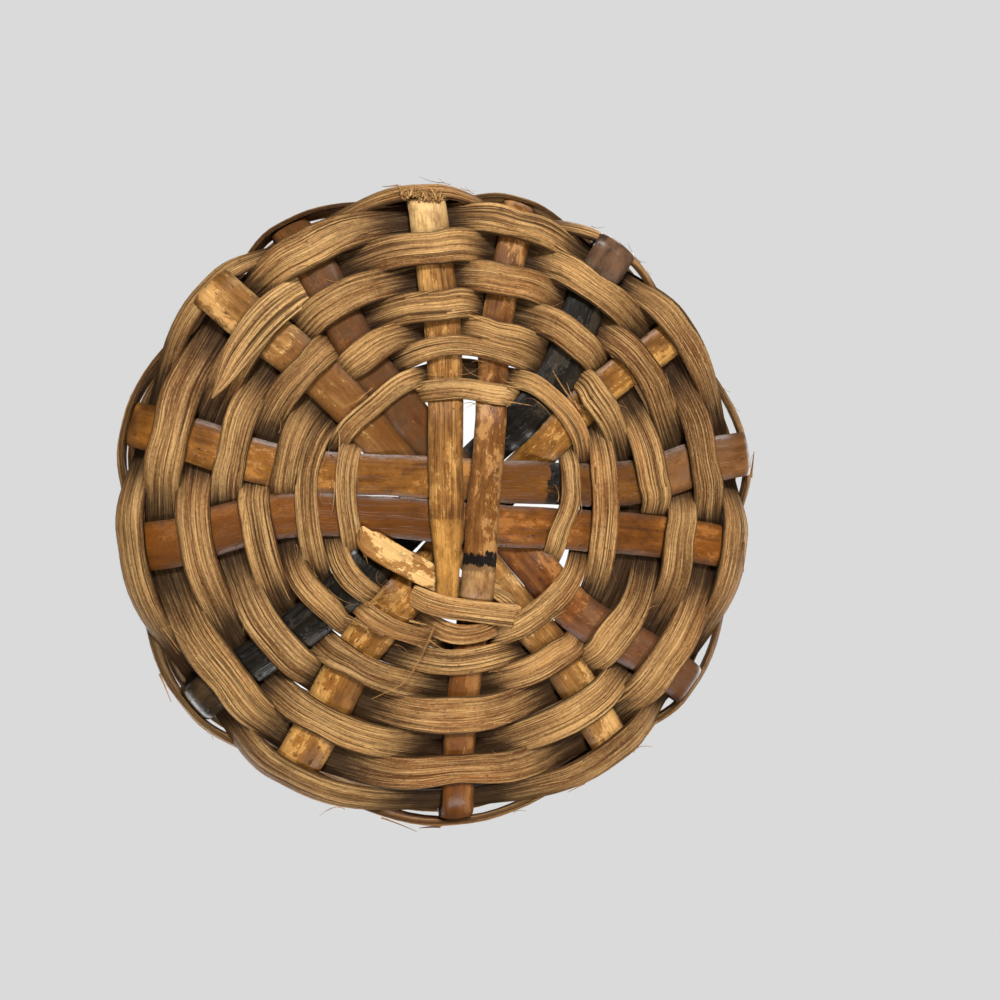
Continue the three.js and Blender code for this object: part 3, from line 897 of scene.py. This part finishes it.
lay_free("folded_strip", [
    (-14.8, 28.4, 4.6, 6.4), (-10.4, 30.5, 1.3, 7.2), (-3.7, 32.5, 0.9, 7.2), (3.0, 33.6, 0.9, 7.0),
    (10.5, 34.7, 0.9, 7.2), (17.0, 35.6, 1.0, 7.6), (18.0, 35.8, 2.2, 7.4),
], 0.0015, cane_finish, 401)
lay_free("folded_tip", [
    (8.6, 27.4, 2.8, 1.0), (11.8, 28.4, 2.0, 3.2), (15.0, 30.4, 1.7, 4.6), (17.6, 33.0, 2.4, 4.6),
], 0.0012, cane_finish, 402)
split_end_wood = split_wood(
    "split_end_wood", (214, 170, 108), (160, 108, 52), (110, 68, 26), gloss=0.5, worn=1.0, fibrous=0.2,
    seed=181,
)
lay_free("split_end", [
    (-30.6, 6.8, 2.1, 1.6), (-28.9, 10.6, 1.8, 7.4), (-24.6, 13.8, 1.9, 8.5), (-18.9, 17.3, 2.3, 8.3),
    (-13.2, 20.4, 3.0, 8.3), (-7.4, 23.6, 3.6, 8.0), (-3.0, 26.0, 4.0, 7.6),
], 0.0015, split_end_wood, 403)
lay_free("inner_turn", [
    (-36.0, 3.0, 6.2, 9.0), (-30.0, 12.0, 9.0, 12.0), (-20.5, 19.5, 10.4, 13.5), (-11.5, 23.5, 9.8, 13.0),
    (-2.0, 27.5, 7.6, 10.0), (8.0, 31.0, 6.4, 8.0),
], 0.0015, cane_finish, 405)

# Torn tail: the end of one length of the same cane that was never tucked in. It comes from behind a stake
# and lies over the rows, split to a point.
lay_free("torn_tail", [
    (-45.6, -69.0, 4.8, 9.0), (-50.0, -65.8, 3.0, 9.6), (-53.6, -62.6, 1.4, 10.2), (-57.0, -59.4, 0.6, 10.4),
    (-61.0, -55.0, 0.5, 10.2), (-65.0, -49.5, 0.5, 9.4), (-68.6, -43.8, 0.5, 7.8), (-71.6, -37.9, 0.7, 4.8),
    (-74.8, -32.2, 1.2, 0.6),
], 0.0009, cane_finish, 404)

# Loose fibres: hairs and flat slivers of cane that have lifted off the strips' edges, frayed fibres where
# one stake turns up, and one long thread with two branches. All still hang on the strips they come from.
fibre_section = section(0.00028, 0.00022, 2.0, 5)
fibre_taper = 0.75
fibre_lowest = 0.00014
fibre_grain_step = 0.61
steps_on_fibre = 3
hairs = 120
slivers = 90
sliver_flatness = 2.2
frays = 70
strip_half = 0.0043
hair_rise = 0.0008
sliver_rise = 0.00095


def lay_fibre(bm, spots, thickness, seed, flatness=1):
    """One hair or flat sliver through its spots, tapering to its tip."""
    places, index, share = stations(len(spots), steps_on_fibre)
    line = curve_through(np.array(spots), index, share[:, None])
    line[:, 2] = np.maximum(line[:, 2], fibre_lowest * thickness)
    ahead = unit(np.gradient(line, axis=0))
    across = unit(np.cross(ahead, (0.31, 0.17, 0.93)))
    outward = np.cross(across, ahead)
    taper = (thickness * (1 - fibre_taper * places / places[-1]))[:, None]
    side, out, girth = fibre_section
    points = sweep(line, across, outward, side * flatness * taper, out * taper)
    lay(bm, points, travelled(line) + fibre_grain_step * seed, girth)


def chance_spot(margin):
    """A chance place on a strip: its middle there, and the ways ahead, sideways and out."""
    strip = strand_edges[chance.integers(len(strand_edges))]
    row = chance.integers(margin, len(strip[0]) - margin)
    return [part[row] for part in strip]


def lifted(root, reach, ahead, aside, out, steps):
    """Spots of a fibre that leaves a strip at its root and bends aside and out as it goes ahead."""
    return [root + reach * step * (ahead + aside * step + out * step) for step in steps]


fibres = bmesh.new()
chance = np.random.default_rng(11)
for hair in range(hairs):
    edge, ahead, sideways, outward = chance_spot(2)
    side_sign = chance.choice([-1, 1])
    ahead = ahead * chance.choice([-1, 1])
    root = edge + sideways * (side_sign * strip_half) + outward * hair_rise
    reach = chance.uniform(0.002, 0.0065)
    lean_out, lean_side = chance.uniform(0.05, 0.5), chance.uniform(0.1, 0.7) * side_sign
    steps = (-0.3, 0.0, 0.4, 0.75, 1.0)
    spots = lifted(root, reach, ahead, sideways * lean_side, outward * lean_out, steps)
    lay_fibre(fibres, spots, chance.uniform(0.6, 1.3), hair)
for sliver in range(slivers):
    edge, ahead, sideways, outward = chance_spot(3)
    ahead = ahead * chance.choice([-1, 1])
    side_sign = chance.choice([-1, 1])
    root = edge + sideways * (side_sign * chance.uniform(0.0020, 0.0042)) + outward * sliver_rise
    reach = chance.uniform(0.005, 0.013)
    lean_out, lean_side = chance.uniform(0.0, 0.08), chance.uniform(0.02, 0.16) * side_sign
    steps = (0.0, 0.35, 0.7, 1.0)
    spots = lifted(root, reach, ahead, sideways * lean_side, outward * lean_out, steps)
    lay_fibre(fibres, spots, chance.uniform(0.8, 1.5), 400 + sliver, sliver_flatness)
for fray in range(frays):
    root = np.array([chance.uniform(-0.0185, -0.0050), -0.0972 + chance.uniform(-0.001, 0.001), 0.0022])
    tip_x, tip_y = chance.uniform(-0.0025, 0.0025), chance.uniform(-0.0042, -0.0010)
    rise = chance.uniform(-0.0004, 0.0018)
    bend = root + np.array([0.3 * tip_x, 0.5 * tip_y, 0.4 * rise])
    tip = root + np.array([tip_x, tip_y, rise])
    lay_fibre(fibres, [root, bend, tip], chance.uniform(1.2, 2.6), 200 + fray)
threads = [
    (2.6, 301, [(-7.5, 38.0, 0.6), (-9.6, 42.5, -0.2), (-12.5, 48.6, -0.2), (-17.2, 55.4, -0.3),
                (-21.8, 57.9, -0.2), (-27.3, 60.2, 0.2)]),
    (1.6, 302, [(-9.6, 42.5, -0.1), (-6.0, 45.2, -0.5), (-2.5, 46.2, -0.4)]),
    (1.6, 303, [(-20.5, 57.5, -0.2), (-24.5, 56.2, -0.6), (-28.0, 57.4, -0.5)]),
]
for thickness, seed, spots in threads:
    lay_fibre(fibres, np.array(spots) / 1000, thickness, seed)
finish_piece("loose_fibres", fibres, cane_finish, None)

# Rim hoops: split rods bent into rings, one outside and one inside the stake tips. The lashing holds them
# together with the stakes between them.
hoop_bevel = 0.0014
hoop_steps = 144
hoop_grain_girth = 0.004
hoop_wood = split_wood(
    "hoop_wood", (204, 158, 96), (164, 116, 60), (108, 70, 32), gloss=0.4, worn=0.4, fibrous=0.6, seed=161,
)


def lay_hoop(name, node, side):
    """Ring of rounded section: an outline of four corners, bevelled, and spun about the basket's axis."""
    near = side * (stick_thickness / 2 + clearance)
    far = near + side * hoop_thickness
    low, high = rim_distance - hoop_height, rim_distance
    bm = bmesh.new()
    uv_layer = bm.loops.layers.uv.new("laid")
    corners = [
        bm.verts.new(place(np.array(distance), offset, 0.0).tolist())
        for distance, offset in ((low, near), (low, far), (high, far), (high, near))
    ]
    bm.faces.new(corners)
    bmesh.ops.bevel(
        bm, geom=corners, offset=hoop_bevel, offset_type="OFFSET", affect="VERTICES", segments=3,
        profile=0.5, material=-1,
    )
    bmesh.ops.delete(bm, geom=bm.faces[:], context="FACES_ONLY")
    bmesh.ops.spin(
        bm, geom=bm.verts[:] + bm.edges[:], cent=(0, 0, 0), axis=(0, 0, 1), angle=2 * math.pi,
        steps=hoop_steps, use_merge=True,
    )
    middle_radius, middle_rise = profile(np.array((low + high) / 2))[:2]
    for face in bm.faces:
        center = face.calc_center_median()
        facing = math.atan2(center.y, center.x)
        for loop in face.loops:
            spot = loop.vert.co
            turn = math.atan2(spot.y, spot.x) - facing
            turn = (turn + math.pi) % (2 * math.pi) - math.pi
            around = math.atan2(spot.z - middle_rise, math.hypot(spot.x, spot.y) - middle_radius)
            loop[uv_layer].uv = ((facing + turn) * middle_radius, around * hoop_grain_girth)
    finish_piece(name, bm, hoop_wood, node)


lay_hoop("outer_hoop", "rim_outer_hoop", 1)
lay_hoop("inner_hoop", "rim_inner_hoop", -1)

# Lashing: a narrow strip of cane wound round both hoops between the stakes, slanting over their top. It
# presses the hoops against the stakes, and its end meets its start.
lashing_width = 0.004
# Two wraps between each pair of stakes, at these shares of the way.
lashing_places = (0.3, 0.7)
lashing_corner = 0.0016
corner_steps = 5
rows_on_wrap = 40
lashing_grain_start = 71.3
closing_step = 0.001
lashing_section = section(lashing_width, lashing_thickness, 3.0, 16)


def wind_lashing():
    """Wind the strip: each wrap is a loop with round corners that slants on to the next."""
    low = rim_distance - hoop_height - (lashing_thickness + 2 * clearance) / 2
    high = rim_distance + clearance + lashing_thickness / 2
    half_high = (high - low) / 2
    loop = []
    for to_out, to_top, start in ((1, -1, -90), (1, 1, 0), (-1, 1, 90), (-1, -1, 180)):
        for step in range(corner_steps + 1):
            angle = math.radians(start + 90 * step / corner_steps)
            out_x, out_y = math.cos(angle), math.sin(angle)
            loop.append((
                to_out * (lashing_out - lashing_corner) + lashing_corner * out_x,
                to_top * (half_high - lashing_corner) + lashing_corner * out_y,
                out_x, out_y,
            ))
    closed = np.array(loop + loop[:1])
    run = travelled(closed[:, :2])
    even = np.linspace(0, run[-1], rows_on_wrap + 1)[:-1]
    marks = []
    for count in range(len(order)):
        here, following = (float(angle_counted(count + step, rim_distance)) for step in (0, 1))
        marks += [blend(here, following, share) for share in lashing_places]
    marks.append(marks[0] + 2 * math.pi)
    wraps = len(marks) - 1
    # Half of the slant is taken over the hoops' top, and half down the inside and under them.
    slant = (eased(even / run[-1], 0.22, 0.50) + eased(even / run[-1], 0.62, 0.95)) / 2
    angle = np.concatenate([blend(marks[wrap], marks[wrap + 1], slant) for wrap in range(wraps)])
    offset, rise, out_x, out_y = (np.tile(np.interp(even, run, part), wraps) for part in closed.T)
    distance = (low + high) / 2 + rise
    center = place(distance, offset, angle)
    step = 0.0001
    outward = unit(place(distance + step * out_y, offset + step * out_x, angle) - center)
    ahead = unit(np.roll(center, -1, axis=0) - np.roll(center, 1, axis=0))
    across = unit(np.cross(ahead, outward))
    side, out, girth = lashing_section
    points = sweep(center, across, outward, side, out)
    points = np.concatenate([points, points[:1]])
    lengths = travelled(center)
    lengths = np.append(lengths, lengths[-1] + closing_step) + lashing_grain_start
    bm = bmesh.new()
    lay(bm, points, lengths, girth)
    finish_piece("lashing", bm, cane_finish, "rim_lashing")


wind_lashing()

# Floor: pale and plain, just under the basket. It glows a little for the camera alone, and from below it is
# clear, so that the base can be seen from there.
floor_half = 3.0
floor_drop = 0.0008
floor_glow = 0.52
floor_bm = bmesh.new()
bmesh.ops.create_grid(floor_bm, x_segments=1, y_segments=1, size=floor_half)
bmesh.ops.translate(floor_bm, verts=floor_bm.verts, vec=(0, 0, -floor_drop))
floor_mesh = bpy.data.meshes.new("floor")
floor_bm.to_mesh(floor_mesh)
floor_bm.free()
floor = put_in_scene("floor", floor_mesh)
floor_material = bpy.data.materials.new("floor_pale")
floor_material.use_nodes = True
floor_tree = floor_material.node_tree
floor_shader = floor_tree.nodes["Principled BSDF"]
floor_shader.inputs["Base Color"].default_value = colour((150, 150, 150))
floor_shader.inputs["Emission Strength"].default_value = 1.0
floor_shader.inputs["Roughness"].default_value = 0.7
seen = Tone(floor_tree, None).node("ShaderNodeLightPath", {}, {}, output="Is Camera Ray")
(seen * floor_glow).feed(floor_shader, "Emission Color")
under = seen.node("ShaderNodeNewGeometry", {}, {}, output="Backfacing")
clear = seen.node("ShaderNodeBsdfTransparent", {}, {})
pale = Tone(floor_tree, floor_shader.outputs[0])
surface = seen.node("ShaderNodeMixShader", {}, {0: under, 1: pale, 2: clear})
surface.feed(floor_tree.nodes["Material Output"], "Surface")
floor_mesh.materials.append(floor_material)
for ray in ("diffuse", "glossy", "transmission", "shadow"):
    setattr(floor, f"visible_{ray}", False)

# Light: an even pale room and five soft windows. Two are below, the stronger on the photograph's upper side,
# and three above, in front, behind and beside. The backdrop is brighter the way that the open mouth faces.
world = bpy.data.worlds.new("room")
bpy.context.scene.world = world
world.use_nodes = True
backdrop = world.node_tree.nodes["Background"]
seen = Tone(world.node_tree, None).node("ShaderNodeLightPath", {}, {}, output="Is Camera Ray")
direction = seen.node("ShaderNodeTexCoord", {}, {}, output="Generated")
mouth_direction = Vector((0.0287, 0.0016, 0.4016)).normalized()
along_mouth = {0: direction, 1: mouth_direction}
aligned = direction.node("ShaderNodeVectorMath", {"operation": "DOT_PRODUCT"}, along_mouth, output="Value")
room_light = 0.12
backdrop_light = 0.70
mouth_light = 0.30
shown = backdrop_light + mouth_light * aligned.rise(0.936, 0.955)
((1 - seen) * room_light + seen * shown).feed(backdrop, "Strength")
backdrop.inputs["Color"].default_value = (1.0, 1.0, 1.0, 1.0)
# Each window's name, its place, the height over the base's middle that it aims at, its sides and its power.
windows = [
    ("window_below", (0.05, -0.90, -0.95), 0, 0.4, 0.3, 26.0),
    ("window_opposite", (0.10, 0.90, -0.95), 0, 0.4, 0.3, 13.5),
    ("window_above", (0.5, -0.8, 1.4), 0.08, 1.0, 1.0, 27.0),
    ("window_behind", (-0.9, 1.0, 1.0), 0.08, 1.0, 1.0, 27.0),
    ("window_beside", (1.4, 0.3, 0.6), 0.08, 1.0, 1.0, 20.0),
]
for name, spot, aim_height, width, height, power in windows:
    lamp = bpy.data.lights.new(name, "AREA")
    lamp.shape = "RECTANGLE"
    lamp.size = width
    lamp.size_y = height
    lamp.energy = power
    toward = Vector((0, 0, aim_height)) - Vector(spot)
    turned = toward.to_track_quat("-Z", "Y").to_matrix().to_4x4()
    put_in_scene(name, lamp).matrix_world = Matrix.Translation(spot) @ turned

# Camera: under the base and a little to the left of it, looking up and leaning to the right, as in the
# photograph.
camera_x = -0.0287
camera_y = -0.0016
camera_z = -0.2366
lean = math.radians(10)
camera_data = bpy.data.cameras.new("camera")
camera_data.sensor_width = 36.0
camera_data.lens = 27.04
camera_data.clip_start = 0.01
camera = put_in_scene("camera", camera_data)
camera.matrix_world = Matrix((
    (math.cos(lean), 0, -math.sin(lean), camera_x),
    (0, -1, 0, camera_y),
    (-math.sin(lean), 0, -math.cos(lean), camera_z),
    (0, 0, 0, 1),
))
bpy.context.scene.camera = camera
bpy.context.scene.view_settings.view_transform = "Standard"
